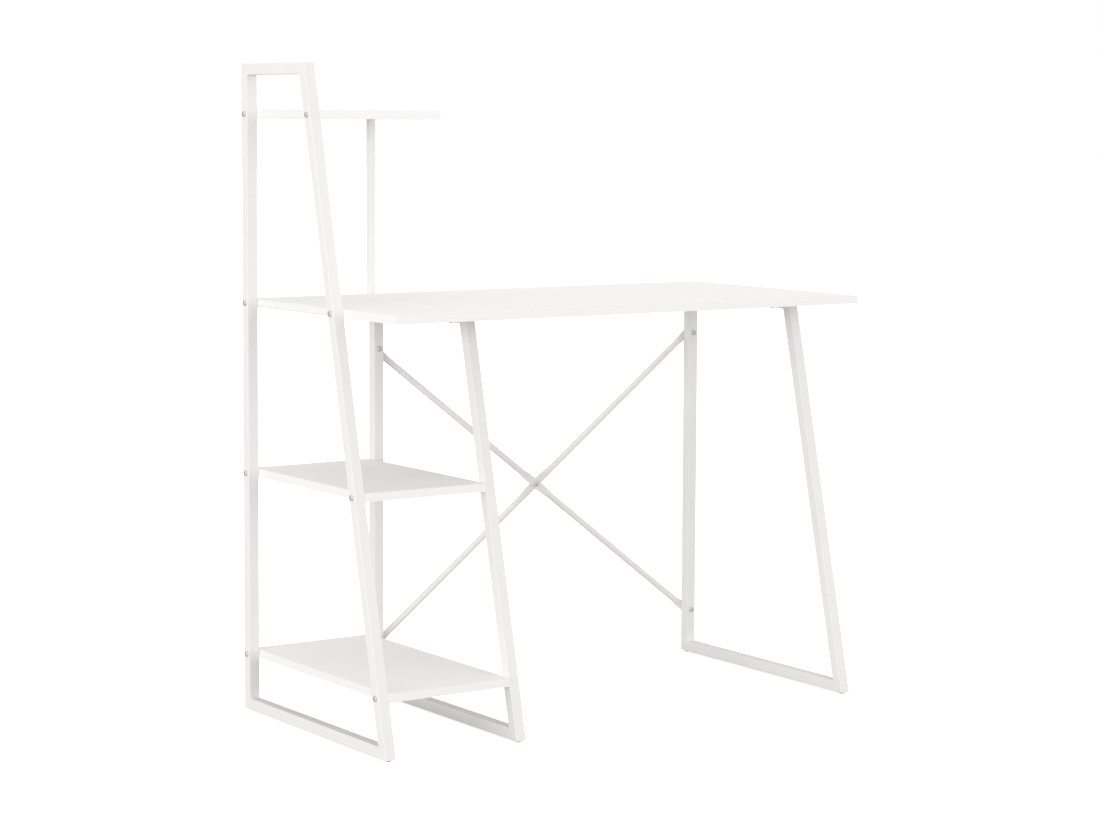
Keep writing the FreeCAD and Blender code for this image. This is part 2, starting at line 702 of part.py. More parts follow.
frame_bolt = bolt("frame_bolt_master", tube + size["bolt_reach"])
tall_spots = [spot for height in board_middle.values() for spot in bolt_pair(height)]
middle_spots = [spot for height in shelf_bolts for spot in bolt_pair(height)]
middle_face = tube + size["shelf_width"]
parts.append(group("tall_frame_bolts", frame_bolt,
                   [(ZERO, along, height, RIGHTWARD) for along, height in tall_spots]))
parts.append(group("middle_frame_bolts", frame_bolt,
                   [(middle_face + tube, along, height, LEFTWARD) for along, height in middle_spots]))
parts.append(group("board_inserts", board_insert(),
                   [(tube, along, height, RIGHTWARD) for along, height in tall_spots]
                   + [(middle_face, along, height, LEFTWARD) for along, height in middle_spots]))

# Assembly: desktop screws and glides

desktop_screw = screw("desktop_screw_master", size["screw_diameter"], tube + size["screw_reach"])
parts.append(group("desktop_screws", desktop_screw,
                   [(middle, spot, desktop_underside - tube, UPWARD) for middle, spot in rail_screws]))
parts.append(group("glides", floor_glide(), [(middle, spot, glide, UPWARD)
                                             for middle in (tall_middle, middle_middle, right_middle)
                                             for spot in glide_spots]))

doc.recompute()
for item in doc.Objects:
    if "Invalid" in item.State or "Error" in item.State:
        raise ValueError(f"{item.Label} failed: {item.State}")
for part in parts:
    if part.Shape.isNull() or not part.Shape.isValid() or not part.Shape.Solids:
        raise ValueError(f"{part.Label} has no valid solid")

os.makedirs("parts", exist_ok=True)
for part in parts:
    part.Shape.exportStep(f"parts/{part.Label}.step")
print(f"{len(parts)} sub-parts written")
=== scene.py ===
"""Dresses the ladder desk: powder-coated tube frames, melamine boards, zinc fasteners and a pale studio.

Lengths are metres in the frame of the solids: X along the desk from the tall frame, Y to the back, Z up.
"""
import math

import bmesh
import bpy
from bpy.props import FloatProperty, FloatVectorProperty, PointerProperty
from mathutils import Euler, Matrix, Vector


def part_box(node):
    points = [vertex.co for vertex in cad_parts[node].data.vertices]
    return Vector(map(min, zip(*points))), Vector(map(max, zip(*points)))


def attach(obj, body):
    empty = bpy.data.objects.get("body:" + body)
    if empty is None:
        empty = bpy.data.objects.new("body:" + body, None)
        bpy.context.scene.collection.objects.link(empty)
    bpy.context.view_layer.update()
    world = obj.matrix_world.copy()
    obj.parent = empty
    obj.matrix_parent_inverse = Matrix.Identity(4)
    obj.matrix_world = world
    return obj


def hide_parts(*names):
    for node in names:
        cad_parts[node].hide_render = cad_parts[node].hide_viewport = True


bl_info = {
    "name": "Ladder Desk Finish",
    "version": (1, 0, 0),
    "blender": (4, 5, 0),
    "location": "View3D > Sidebar > Ladder Desk",
    "description": "Finishes and details the parts of a ladder desk and sets its studio",
    "category": "Object",
}

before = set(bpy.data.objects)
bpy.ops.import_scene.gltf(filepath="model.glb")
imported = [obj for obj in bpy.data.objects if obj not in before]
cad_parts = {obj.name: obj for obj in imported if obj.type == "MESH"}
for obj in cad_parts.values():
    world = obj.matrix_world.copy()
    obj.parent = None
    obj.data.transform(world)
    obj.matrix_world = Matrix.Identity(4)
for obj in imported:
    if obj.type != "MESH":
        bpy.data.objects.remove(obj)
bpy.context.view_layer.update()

MM = 0.001
UP = Vector((0, 0, 1))
DOWN = Vector((0, 0, -1))
REAR = Vector((0, 1, 0))
BODY = "root"
FRAMES = ("tall_frame", "middle_frame", "right_frame")
MEMBERS = ("rear_post", "front_leg", "top_rail", "floor_rail")
BOARDS = ("desktop", "top_shelf", "middle_shelf", "bottom_shelf")

# A fastener's own mesh lies within this distance of its first point, and its neighbours lie further off.
SOLID_REACH = 60 * MM

# Points round a ring. A screw needs more of them for its cross recess.
ROUND_STEPS = 48
CROSS_STEPS = 96

# Steps along the curves of a bolt's head, a screw's head, a glide, a weld and a brace rod
BOLT_DOME_STEPS = 8
SCREW_DOME_STEPS = 6
GLIDE_STEPS = 8
RIPPLE_STEPS = 6
BEAD_STEPS = 8
TIP_STEPS = 14
TAPER_STEPS = 16

# Edges: the angle from which one is sharp, and how the boards' bands are joined and eased
SHARP_ANGLE = math.radians(35)
JOIN_DISTANCE = 0.01 * MM
EASE_SEGMENTS = 3

# Bolts: bevels, the drill point under the socket (its width is a share of the socket's), and the thread's
# depth and the two ends of its root as shares of the pitch
BOLT_BEVEL = 0.15 * MM
SOCKET_POINT_DEPTH = 0.5 * MM
SOCKET_POINT_WIDTH = 0.35
THREAD_DEPTH = 0.45
THREAD_ROOT = (0.45, 0.55)

# Nuts: the flat ring of a face as a share of the width across flats, the slope of the corners round it,
# and the lead into the bore
HEX_SIDES = 6
NUT_RING = 0.95
NUT_SLOPE = math.tan(math.radians(30))
NUT_LEAD = 0.45 * MM

# Screws: bevels, the straight rim as a share of the head, and the point's length in shank radii.
# The recess has three levels from its bottom to its rim: shares of its arm, its width and the head.
SCREW_BEVEL = 0.2 * MM
SCREW_RIM = 0.3
SCREW_POINT = 2
RECESS = ((0.35, 0.30, 0.35), (0.80, 0.75, 0.60), (1.0, 1.0, 1.0))

# Welds: distance from the tube's sides, depth under the corner, and shares of the bead's leg:
# ripples, crown and what is left of it at the ends. A high power keeps the taper short.
WELD_INSET = 1.6 * MM
WELD_ROOT = 0.2 * MM
WELD_RIPPLE = 0.06
WELD_CROWN = 0.10
WELD_END = 0.25
WELD_END_POWER = 12

# Brace rods: half width that is left at the very tip, and how square a flat is
TIP_REST = 0.02 * MM
FLAT_SQUARENESS = 3.5

# Glides: radius of the first ring, in the middle of the foot, then shares of the radius and of the height
# under the rail. The barb's are shares of the stem and of the whole height.
GLIDE_CENTRE = 0.2 * MM
GLIDE_FLAT = 0.58
GLIDE_TOE = (0.64, 0.03)
GLIDE_SHOULDER = 0.68
GLIDE_RIM = (0.98, 0.95)
GLIDE_STEM = 0.45
GLIDE_BARB = (0.5, 0.85)

# Soft lights: where each panel stands, then its width and height. All face one point over the floor.
LIGHTS = {
    "left": ((-20.0, -2.0, 2.2), (15.0, 4.4)),
    "corner": ((-15.0, -13.0, 2.2), (15.0, 4.4)),
    "front": ((4.0, -20.0, 4.0), (15.0, 8.0)),
    "right": ((20.0, 0.0, 4.0), (15.0, 6.0)),
    "top": ((0.0, -2.0, 20.0), (14.0, 14.0)),
}
LIGHT_TARGET = Vector((0, 0, 0.5))

# Floor and room: what the camera sees, and what the floor throws back at the desk
FLOOR_HALF = 40.0
FLOOR_SEEN = (0.80, 0.80, 0.80, 1)
FLOOR_ROUGHNESS = 0.9
FLOOR_GLOW = 0.75
FLOOR_BOUNCE = (0.50, 0.50, 0.50, 1)
WHITE = (1, 1, 1, 1)
ROOM_SEEN = 1.02

# Width of the camera's sensor in millimetres
SENSOR_WIDTH = 36.0


# Settings that a user would change

class DeskFinishSettings(bpy.types.PropertyGroup):
    """Colours of the desk's finishes."""

    coat: FloatVectorProperty(name="Powder coat", description="Frames, riser and brace",
                              subtype="COLOR", size=4, min=0, max=1, default=(0.766, 0.752, 0.730, 1))
    board: FloatVectorProperty(name="Board face", description="Melamine of the desktop and shelves",
                               subtype="COLOR", size=4, min=0, max=1, default=(0.937, 0.920, 0.912, 1))
    band: FloatVectorProperty(name="Edge band", description="Plastic band round the boards",
                              subtype="COLOR", size=4, min=0, max=1, default=(0.834, 0.821, 0.811, 1))
    zinc: FloatVectorProperty(name="Zinc plating", description="Bolts, nuts, screws and inserts",
                              subtype="COLOR", size=4, min=0, max=1, default=(0.67, 0.665, 0.652, 1))
    glide: FloatVectorProperty(name="Glide plastic", description="Glides under the floor rails",
                               subtype="COLOR", size=4, min=0, max=1, default=(0.26, 0.26, 0.265, 1))


class DeskHardwareSettings(bpy.types.PropertyGroup):
    """Sizes of the fasteners and of the small dressing on frames and boards."""

    head_height: FloatProperty(name="Bolt head height", description="Button head over its seat",
                               default=3.3 * MM, unit="LENGTH")
    head_rim: FloatProperty(name="Bolt head rim", description="Straight rim under the dome",
                            default=0.9 * MM, unit="LENGTH")
    head_flat: FloatProperty(name="Bolt head flat", description="Radius of the flat round the socket",
                             default=2.9 * MM, unit="LENGTH")
    shank: FloatProperty(name="Bolt shank", description="Diameter of the bolts",
                         default=6 * MM, unit="LENGTH")
    threaded: FloatProperty(name="Thread length", description="Threaded end of a bolt",
                            default=9 * MM, unit="LENGTH")
    pitch: FloatProperty(name="Thread pitch", description="Rise of a bolt's thread in one turn",
                         default=1 * MM, unit="LENGTH")
    socket: FloatProperty(name="Socket", description="Hexagon socket across its flats",
                          default=4 * MM, unit="LENGTH")
    socket_depth: FloatProperty(name="Socket depth", description="Depth of the hexagon socket",
                                default=2 * MM, unit="LENGTH")
    screw_head: FloatProperty(name="Screw head height", description="Low head of the screws",
                              default=2.5 * MM, unit="LENGTH")
    desktop_screw: FloatProperty(name="Desktop screw", description="Shank diameter of the desktop's screws",
                                 default=4.2 * MM, unit="LENGTH")
    riser_screw: FloatProperty(name="Riser screw", description="Shank diameter of the riser's screws",
                               default=5 * MM, unit="LENGTH")
    cross_arm: FloatProperty(name="Cross recess", description="Reach of an arm of the screws' cross recess",
                             default=2.3 * MM, unit="LENGTH")
    cross_width: FloatProperty(name="Cross width", description="Width of an arm of the cross recess",
                               default=1.1 * MM, unit="LENGTH")
    weld: FloatProperty(name="Weld bead", description="Leg of the weld in an inner frame corner",
                        default=2.6 * MM, unit="LENGTH")
    ripple: FloatProperty(name="Weld ripple", description="Distance between the ripples of a weld",
                          default=1.9 * MM, unit="LENGTH")
    ease: FloatProperty(name="Eased edge", description="Rounding of the boards' edge bands",
                        default=0.30 * MM, unit="LENGTH")


class DeskBraceSettings(bpy.types.PropertyGroup):
    """Sizes of the pressed brace rods."""

    diameter: FloatProperty(name="Rod", description="Round stretch of a brace rod",
                            default=12 * MM, unit="LENGTH")
    flat: FloatProperty(name="Pressed thickness", description="Thickness where the rod is pressed flat",
                        default=3 * MM, unit="LENGTH")
    wide: FloatProperty(name="Pressed width", description="Width where the rod is pressed flat",
                        default=16 * MM, unit="LENGTH")
    lug: FloatProperty(name="End flat", description="Flat from an end bolt inward",
                       default=14 * MM, unit="LENGTH")
    crossing: FloatProperty(name="Crossing flat", description="Flat on each side of the crossing bolt",
                            default=20 * MM, unit="LENGTH")
    taper: FloatProperty(name="Taper", description="Length from flat to round",
                         default=22 * MM, unit="LENGTH")


class DeskStageSettings(bpy.types.PropertyGroup):
    """Camera and lights."""

    eye: FloatVectorProperty(name="Camera place", description="Where the camera stands",
                             subtype="TRANSLATION", size=3, default=(-2.8353, -4.1473, 1.0924))
    heading: FloatProperty(name="Heading", description="Turn of the camera about the vertical",
                           subtype="ANGLE", default=math.radians(-34.31))
    tilt: FloatProperty(name="Tilt", description="How far the camera looks down",
                        subtype="ANGLE", default=math.radians(5.216))
    roll: FloatProperty(name="Roll", description="Turn of the camera about its own line of sight",
                        subtype="ANGLE", default=math.radians(0.278))
    lens: FloatProperty(name="Lens", description="Focal length in millimetres on a 36 mm sensor",
                        default=90.07)
    rise: FloatProperty(name="Shift", description="Vertical shift of the lens, as a share of the width",
                        default=-0.0473)
    left: FloatProperty(name="Left light", description="Power of the wide light on the left",
                        default=985, unit="POWER")
    corner: FloatProperty(name="Corner light", description="Power of the wide light between left and front",
                          default=1480, unit="POWER")
    front: FloatProperty(name="Front light", description="Power of the wide light in front",
                         default=620, unit="POWER")
    right: FloatProperty(name="Right light", description="Power of the wide light on the right",
                         default=800, unit="POWER")
    top: FloatProperty(name="Top light", description="Power of the wide light overhead",
                       default=200, unit="POWER")
    room: FloatProperty(name="Room light", description="Even light from all round",
                        default=0.85, min=0)


class LadderDeskSettings(bpy.types.PropertyGroup):
    """All settings of the desk."""

    finish: PointerProperty(type=DeskFinishSettings)
    hardware: PointerProperty(type=DeskHardwareSettings)
    brace: PointerProperty(type=DeskBraceSettings)
    stage: PointerProperty(type=DeskStageSettings)


def settings():
    return bpy.context.scene.ladder_desk


# Shader nodes

def add_node(tree, kind, inputs=(), **options):
    """Adds a node, sets its options, and fills its inputs with values or with other nodes' outputs."""
    node = tree.nodes.new(kind)
    for name, value in options.items():
        setattr(node, name, value)
    for name, value in dict(inputs).items():
        if isinstance(value, bpy.types.NodeSocket):
            tree.links.new(value, node.inputs[name])
        else:
            node.inputs[name].default_value = value
    return node


def mix_colour(tree, factor, first, second):
    """Mixes two colours by a factor that varies over the surface."""
    node = add_node(tree, "ShaderNodeMix", data_type="RGBA", clamp_factor=True)
    sockets = {socket.identifier: socket for socket in node.inputs}
    for name, value in (("Factor_Float", factor), ("A_Color", first), ("B_Color", second)):
        if isinstance(value, bpy.types.NodeSocket):
            tree.links.new(value, sockets[name])
        else:
            sockets[name].default_value = value
    return next(socket for socket in node.outputs if socket.identifier == "Result_Color")


def remap(tree, value, low, high, start=0.0, end=1.0):
    """Spreads a value that goes from start to end over the range from low to high."""
    ends = {"From Min": start, "From Max": end, "To Min": low, "To Max": high}
    return add_node(tree, "ShaderNodeMapRange", {"Value": value, **ends}).outputs["Result"]


def new_group(name, inputs, outputs):
    """An empty shader node group with float inputs (name to default) and float outputs."""
    tree = bpy.data.node_groups.new(name, "ShaderNodeTree")
    for label, default in inputs.items():
        socket = tree.interface.new_socket(name=label, in_out="INPUT", socket_type="NodeSocketFloat")
        socket.default_value = default
    for label in outputs:
        tree.interface.new_socket(name=label, in_out="OUTPUT", socket_type="NodeSocketFloat")
    return tree, add_node(tree, "NodeGroupInput"), add_node(tree, "NodeGroupOutput")


def surface_grain():
    """Group: fine relief, slow mottling and sparse specks, all in the desk's own coordinates."""
    name = "Surface grain"
    if name in bpy.data.node_groups:
        return bpy.data.node_groups[name]
    inputs = {"Grain per metre": 700, "Mottle per metre": 14, "Speck per metre": 260}
    tree, given, result = new_group(name, inputs, ("Relief", "Mottle", "Specks"))
    place = add_node(tree, "ShaderNodeTexCoord").outputs["Object"]

    def noise(scale, detail, roughness):
        return add_node(tree, "ShaderNodeTexNoise", {"Vector": place, "Scale": given.outputs[scale],
                                                     "Detail": detail, "Roughness": roughness})

    grain = noise("Grain per metre", detail=3.0, roughness=0.55)
    mottle = noise("Mottle per metre", detail=4.0, roughness=0.6)
    speck = add_node(tree, "ShaderNodeTexVoronoi", {"Vector": place,
                                                    "Scale": given.outputs["Speck per metre"]})
    dots = remap(tree, speck.outputs["Distance"], 0.0, 1.0, start=0.16, end=0.06)
    tree.links.new(grain.outputs["Fac"], result.inputs["Relief"])
    tree.links.new(mottle.outputs["Fac"], result.inputs["Mottle"])
    tree.links.new(dots, result.inputs["Specks"])
    return tree


def edge_line():
    """Group: a soft mask along the edges of a piece, where a coat is thin or worn; on the zinc it also
    carries a painted highlight.
    """
    name = "Edge line"
    if name in bpy.data.node_groups:
        return bpy.data.node_groups[name]
    tree, given, result = new_group(name, {"Width": 0.8 * MM, "Breakup per metre": 90}, ("Mask",))
    rounded = add_node(tree, "ShaderNodeBevel", {"Radius": given.outputs["Width"]}, samples=4)
    flat = add_node(tree, "ShaderNodeNewGeometry").outputs["Normal"]
    facing = add_node(tree, "ShaderNodeVectorMath", {0: rounded.outputs["Normal"], 1: flat},
                      operation="DOT_PRODUCT")
    edge = remap(tree, facing.outputs["Value"], 0.0, 1.0, start=0.995, end=0.80)
    place = add_node(tree, "ShaderNodeTexCoord").outputs["Object"]
    breakup = add_node(tree, "ShaderNodeTexNoise", {"Vector": place, "Detail": 3.0,
                                                    "Scale": given.outputs["Breakup per metre"]})
    share = remap(tree, breakup.outputs["Fac"], 0.45, 1.0)
    mask = add_node(tree, "ShaderNodeMath", {0: edge, 1: share}, operation="MULTIPLY")
    tree.links.new(mask.outputs["Value"], result.inputs["Mask"])
    return tree


def shaded(colour, factor):
    """The same colour, darker or lighter."""
    return (*(min(1.0, channel * factor) for channel in colour[:3]), 1.0)


def new_material(name):
    """A material with one Principled shader; returns it, its tree and the shader."""
    material = bpy.data.materials.new(name)
    material.use_nodes = True
    tree = material.node_tree
    tree.nodes.clear()
    shader = add_node(tree, "ShaderNodeBsdfPrincipled")
    output = add_node(tree, "ShaderNodeOutputMaterial")
    tree.links.new(shader.outputs["BSDF"], output.inputs["Surface"])
    return material, tree, shader


def make_finish(name, colour, grain, relief, mottle, dark, light, roughness, edge_width, edge_breaks,
                edge_share, edge_shade, specks=0, speck_share=0.0, speck_shade=1.0, sockets=()):
    """A material of one colour whose tone, roughness and relief vary over the surface.

    Grain, mottle, specks and edge breaks are numbers per metre, and relief is the depth of the grain. Dark,
    light and the shades are factors of the colour, and the shares say how much of a speck or of the edge
    line shows. Sockets holds what is the same all over.
    """
    if name in bpy.data.materials:
        return bpy.data.materials[name]
    material, tree, shader = new_material(name)
    scales = {"Grain per metre": grain, "Mottle per metre": mottle, "Speck per metre": specks}
    surface = add_node(tree, "ShaderNodeGroup", scales, node_tree=surface_grain()).outputs
    line = {"Width": edge_width, "Breakup per metre": edge_breaks}
    edge = add_node(tree, "ShaderNodeGroup", line, node_tree=edge_line()).outputs
    tone = mix_colour(tree, surface["Mottle"], shaded(colour, dark), shaded(colour, light))
    if specks:
        spots = remap(tree, surface["Specks"], 0, speck_share)
        tone = mix_colour(tree, spots, tone, shaded(colour, speck_shade))
    # Edge line: thin or worn coat; on the zinc it is partly a painted highlight that lightens the bolt heads
    # round their sockets.
    edge_wear_and_painted_highlight = remap(tree, edge["Mask"], 0, edge_share)
    tone = mix_colour(tree, edge_wear_and_painted_highlight, tone, shaded(colour, edge_shade))
    tree.links.new(tone, shader.inputs["Base Color"])
    tree.links.new(remap(tree, surface["Mottle"], *roughness), shader.inputs["Roughness"])
    bump = add_node(tree, "ShaderNodeBump", {"Height": surface["Relief"], "Distance": relief,
                                             "Strength": 1.0})
    tree.links.new(bump.outputs["Normal"], shader.inputs["Normal"])
    for socket, value in dict(sockets).items():
        shader.inputs[socket].default_value = value
    return material


def powder_coat():
    """White baked powder coat: orange peel, a slow change of tone and a thin line at the edges."""
    return make_finish("White powder coat", settings().finish.coat, grain=620, relief=0.035 * MM,
                       mottle=9, dark=0.972, light=1.02, roughness=(0.56, 0.72),
                       edge_width=0.7 * MM, edge_breaks=70, edge_share=0.35, edge_shade=0.90,
                       specks=310, speck_share=0.10, speck_shade=0.80, sockets={"Specular IOR Level": 0.2})


def melamine():
    """White melamine face: fine pearl grain, faint clouds."""
    return make_finish("White melamine", settings().finish.board, grain=1500, relief=0.02 * MM,
                       mottle=7, dark=0.985, light=1.01, roughness=(0.82, 0.94),
                       edge_width=0.5 * MM, edge_breaks=50, edge_share=0.20, edge_shade=0.93,
                       specks=420, speck_share=0.05, speck_shade=0.86, sockets={"Specular IOR Level": 0.2})


def band_plastic():
    """White plastic edge band: smoother than the faces, with faint trimming marks."""
    return make_finish("White edge band", settings().finish.band, grain=900, relief=0.012 * MM,
                       mottle=16, dark=0.985, light=1.01, roughness=(0.34, 0.44),
                       edge_width=0.35 * MM, edge_breaks=120, edge_share=0.25, edge_shade=1.04,
                       sockets={"Specular IOR Level": 0.4})


def zinc_plate():
    """Zinc-plated steel: cloudy grey metal, lighter along its edges and round the socket: partly plating
    worn by handling, partly a painted highlight on the bolt heads.
    """
    return make_finish("Zinc-plated steel", settings().finish.zinc, grain=2600, relief=0.015 * MM,
                       mottle=420, dark=0.86, light=1.12, roughness=(0.54, 0.70),
                       edge_width=0.7 * MM, edge_breaks=400, edge_share=1.0, edge_shade=1.10,
                       specks=1500, speck_share=0.30, speck_shade=0.55, sockets={"Metallic": 1.0})


def glide_plastic():
    """Dark grey moulded plastic with a fine matt grain, scuffed at the rim."""
    return make_finish("Grey glide plastic", settings().finish.glide, grain=3000, relief=0.03 * MM,
                       mottle=180, dark=0.85, light=1.2, roughness=(0.45, 0.65),
                       edge_width=0.4 * MM, edge_breaks=500, edge_share=0.6, edge_shade=1.9)


# Meshes

def finish_node(name, material):
    """Gives a node of the solids its finish."""
    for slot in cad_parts[name].material_slots:
        slot.material = material


def ease_edges(name, width):
    """Rounds a node's edges a little, on top of its own mesh."""
    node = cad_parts[name]
    weld = node.modifiers.new("Join faces", "WELD")
    weld.merge_threshold = JOIN_DISTANCE
    bevel = node.modifiers.new("Eased edges", "BEVEL")
    bevel.width = width
    bevel.segments = EASE_SEGMENTS
    bevel.limit_method = "ANGLE"
    bevel.angle_limit = SHARP_ANGLE
    bevel.harden_normals = True


def solids_of(name):
    """Boxes of the separate solids in one node, each as its lowest and highest corner."""
    clusters = []
    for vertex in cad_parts[name].data.vertices:
        near = next((points for points in clusters if (vertex.co - points[0]).length < SOLID_REACH), None)
        if near is None:
            clusters.append([vertex.co.copy()])
        else:
            near.append(vertex.co.copy())
    return [(Vector(map(min, zip(*points))), Vector(map(max, zip(*points)))) for points in clusters]


def aim(seat, direction):
    """Matrix that stands a piece on its seat with its own Z along a direction."""
    return Matrix.Translation(seat) @ Vector(direction).to_track_quat("Z", "Y").to_matrix().to_4x4()


def outline(steps, reach, height):
    """A ring of points round Z; reach and height are functions of the direction."""
    points = []
    for step in range(steps):
        turn = math.tau * step / steps
        points.append(Vector((reach(turn) * math.cos(turn), reach(turn) * math.sin(turn), height(turn))))
    return points


def circle(radius, height, steps=ROUND_STEPS):
    return outline(steps, lambda turn: radius, lambda turn: height)


def hexagon_reach(turn, across_flats):
    """Distance from the middle of a hexagon to its side, in a given direction."""
    sector = math.tau / HEX_SIDES
    return across_flats / 2 / math.cos((turn % sector) - sector / 2)


def hexagon(across_flats, height, widen=0.0):
    return outline(ROUND_STEPS, lambda turn: hexagon_reach(turn, across_flats) + widen, lambda turn: height)


def cross(arm, half_width, height):
    """Outline of a cross recess."""
    def reach(turn):
        along, aside = sorted((abs(math.cos(turn)), abs(math.sin(turn))), reverse=True)
        return arm / along if arm * aside <= half_width * along else half_width / aside

    return outline(CROSS_STEPS, reach, lambda turn: height)


def quarter(steps):
    """Sine and cosine at the even steps of a quarter turn, without its start."""
    turns = [math.pi / 2 * step / steps for step in range(1, steps + 1)]
    return [(math.sin(turn), math.cos(turn)) for turn in turns]


def skin(rings, matrix=Matrix(), capped=True):
    """A closed mesh through rings of points: its ends are capped, or else its last ring joins its first."""
    mesh = bmesh.new()
    loops = [[mesh.verts.new(matrix @ point) for point in ring] for ring in rings]
    pairs = list(zip(loops, loops[1:]))
    if capped:
        mesh.faces.new(reversed(loops[0]))
        mesh.faces.new(loops[-1])
    else:
        pairs.append((loops[-1], loops[0]))
    for lower, upper in pairs:
        for step in range(len(lower)):
            after = (step + 1) % len(lower)
            mesh.faces.new((lower[step], lower[after], upper[after], upper[step]))
    bmesh.ops.recalc_face_normals(mesh, faces=mesh.faces)
    return mesh


def join(meshes):
    """Puts several meshes into one."""
    whole = bmesh.new()
    for part in meshes:
        data = bpy.data.meshes.new("part")
        part.to_mesh(data)
        part.free()
        whole.from_mesh(data)
        bpy.data.meshes.remove(data)
    return whole


def add_piece(name, mesh, material, slot, *nodes):
    """Makes a piece of a mesh, rides it on the desk and hides the nodes of the solids that it replaces."""
    data = bpy.data.meshes.new(name)
    mesh.to_mesh(data)
    mesh.free()
    data.shade_smooth()
    data.set_sharp_from_angle(angle=SHARP_ANGLE)
    data.materials.append(material)
    piece = bpy.data.objects.new(name, data)
    bpy.context.scene.collection.objects.link(piece)
    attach(piece, BODY)
    if nodes:
        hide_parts(*nodes)


# Bolts, nuts and screws, standing on their seat with the shank along Z

def thread(radius, start, end):
    """Rings of a thread's crests and roots along a shank."""
    pitch = settings().hardware.pitch
    root = radius - THREAD_DEPTH * pitch
    rings = []
    for turn in range(max(0, int((end - start) / pitch))):
        level = start + turn * pitch
        rings.append(circle(radius, level))
        rings += [circle(root, level + share * pitch) for share in THREAD_ROOT]
    return rings


def bolt_mesh(matrix, head_radius, grip):
    """A button-head bolt: hexagon socket, domed head, shank and thread."""
    sizes = settings().hardware
    tall, rim, flat, shank = sizes.head_height, sizes.head_rim, sizes.head_flat, sizes.shank / 2
    socket, bottom = sizes.socket, -tall + sizes.socket_depth
    rings = [hexagon(socket * SOCKET_POINT_WIDTH, bottom + SOCKET_POINT_DEPTH), hexagon(socket, bottom),
             hexagon(socket, -tall + BOLT_BEVEL), hexagon(socket, -tall, BOLT_BEVEL), circle(flat, -tall)]
    rings += [circle(flat + (head_radius - flat) * out, -rim - (tall - rim) * over)
              for out, over in quarter(BOLT_DOME_STEPS)]
    rings += [circle(head_radius, -BOLT_BEVEL), circle(head_radius - BOLT_BEVEL, 0), circle(shank, 0)]
    rings += thread(shank, grip - sizes.threaded, grip - BOLT_BEVEL)
    rings += [circle(shank - 2 * BOLT_BEVEL, grip - BOLT_BEVEL), circle(shank - 4 * BOLT_BEVEL, grip)]
    return skin(rings, matrix)


def nut_mesh(matrix, across_flats, thickness):
    """A hexagon nut with chamfered corners and a bore."""
    bore = settings().hardware.shank / 2
    lead, face = bore + NUT_LEAD, across_flats / 2 * NUT_RING

    def reach(turn):
        return hexagon_reach(turn, across_flats)

    def drop(turn):
        return (reach(turn) - face) * NUT_SLOPE

    rings = [circle(bore, NUT_LEAD), circle(lead, 0), circle(face, 0), outline(ROUND_STEPS, reach, drop),
             outline(ROUND_STEPS, reach, lambda turn: thickness - drop(turn)), circle(face, thickness),
             circle(lead, thickness), circle(bore, thickness - NUT_LEAD)]
    return skin(rings, matrix, capped=False)


def screw_mesh(matrix, head_radius, shank, reach):
    """A low-head screw with a cross recess and a point."""
    sizes = settings().hardware
    tall, arm, half, steps = sizes.screw_head, sizes.cross_arm, sizes.cross_width / 2, CROSS_STEPS
    inner = arm + SCREW_BEVEL
    rings = [cross(arm * long, half * wide, -tall * high) for long, wide, high in RECESS]
    rings.append(circle(inner, -tall, steps))
    for out, over in quarter(SCREW_DOME_STEPS):
        level = SCREW_RIM + (1 - SCREW_RIM) * over
        rings.append(circle(inner + (head_radius - inner) * out, -tall * level, steps))
    rings += [circle(head_radius, -SCREW_BEVEL, steps), circle(head_radius - SCREW_BEVEL, 0, steps),
              circle(shank, 0, steps), circle(shank, reach - SCREW_POINT * shank, steps),
              circle(SCREW_BEVEL, reach, steps)]
    return skin(rings, matrix)


# Operators

class DESK_OT_coat_frames(bpy.types.Operator):
    """Powder-coats the tubes of the three frames and the riser post."""

    bl_idname = "desk.coat_frames"
    bl_label = "Coat frames"

    def execute(self, context):
        coat = powder_coat()
        for name in [f"{side}_{member}" for side in FRAMES for member in MEMBERS] + ["riser_post"]:
            finish_node(name, coat)
        return {"FINISHED"}


